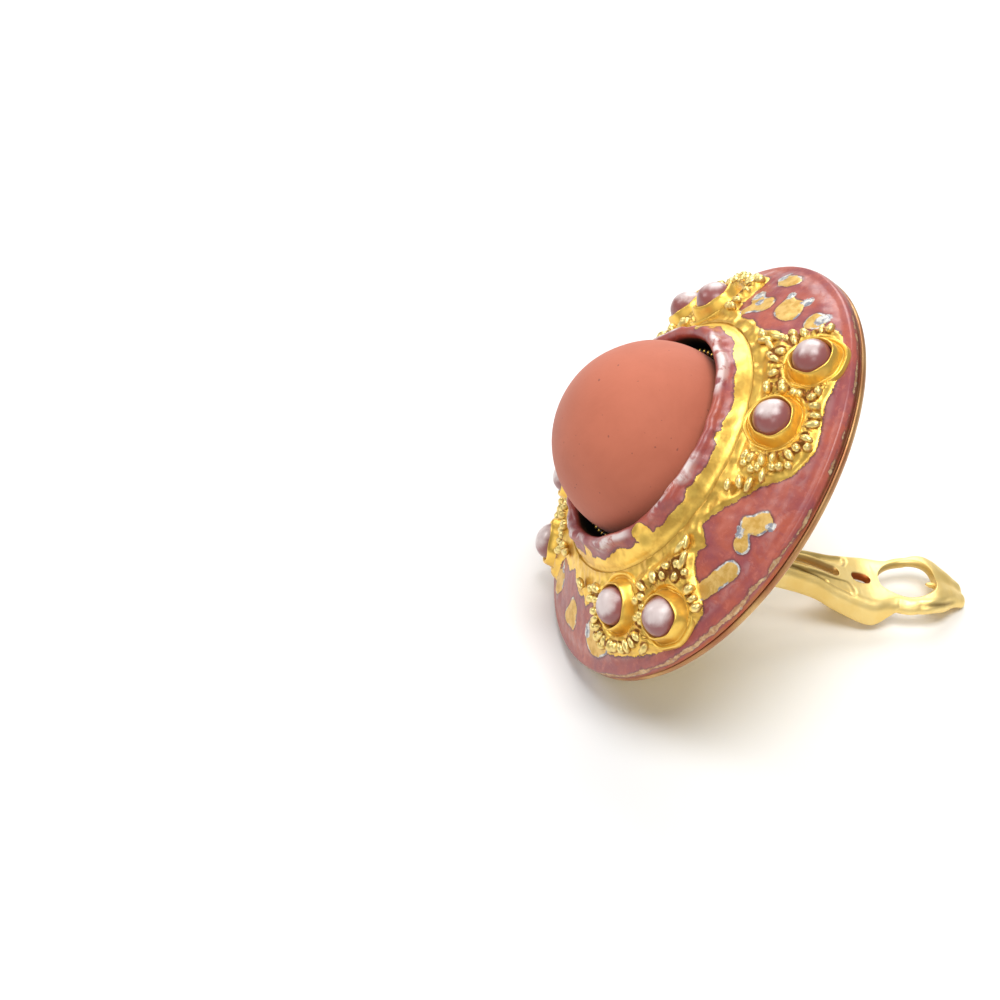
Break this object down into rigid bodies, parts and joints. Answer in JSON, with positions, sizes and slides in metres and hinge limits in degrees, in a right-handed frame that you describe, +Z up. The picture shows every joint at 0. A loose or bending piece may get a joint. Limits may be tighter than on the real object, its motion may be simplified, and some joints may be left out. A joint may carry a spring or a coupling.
{
  "type": "button clip earring",
  "caption": "Round clip-on button earring: enamelled and gilded disc with pearl knobs, a matte dome in a raised collar, and a hinged spring lever behind.",
  "frame": {"origin": "on the surface it lies on, under the middle of its bounding box", "axes": "+Z up, +X across the disc and along the hinge pin, -Y towards the side that the face looks to, +Y towards the tip of the lever"},
  "size_m": [0.034, 0.0334, 0.0281],
  "materials": {
    "rose_enamel": "cast metal with dusty rose enamel, bright gilding on the crust and flakes of gold leaf edged with silver",
    "gilt_back": "worn satin gilding",
    "matte_dome": "matte terracotta cabochon",
    "gilt_bezel": "bright gilding",
    "pearl_enamel": "pearly mauve enamel",
    "gilt_clip": "pale satin gilding"
  },
  "bodies": {
    "earring": {"cast_face": "rose_enamel", "back_plate": "gilt_back", "dome": "matte_dome", "bezel_ring": "gilt_bezel", "pearl_1": "pearl_enamel", "pearl_2": "pearl_enamel", "pearl_3": "pearl_enamel", "pearl_4": "pearl_enamel", "pearl_5": "pearl_enamel", "pearl_6": "pearl_enamel", "pearl_7": "pearl_enamel", "pearl_8": "pearl_enamel", "hinge_pin": "gilt_clip"},
    "lever": {"clip_lever": "gilt_clip"}
  },
  "joints": [
    {"name": "lever_hinge", "type": "hinge", "parent": "earring", "child": "lever", "pos_m": [0, -0.00556, 0.00686], "axis": [1, 0, 0], "range_deg": [-15, 64]}
  ]
}
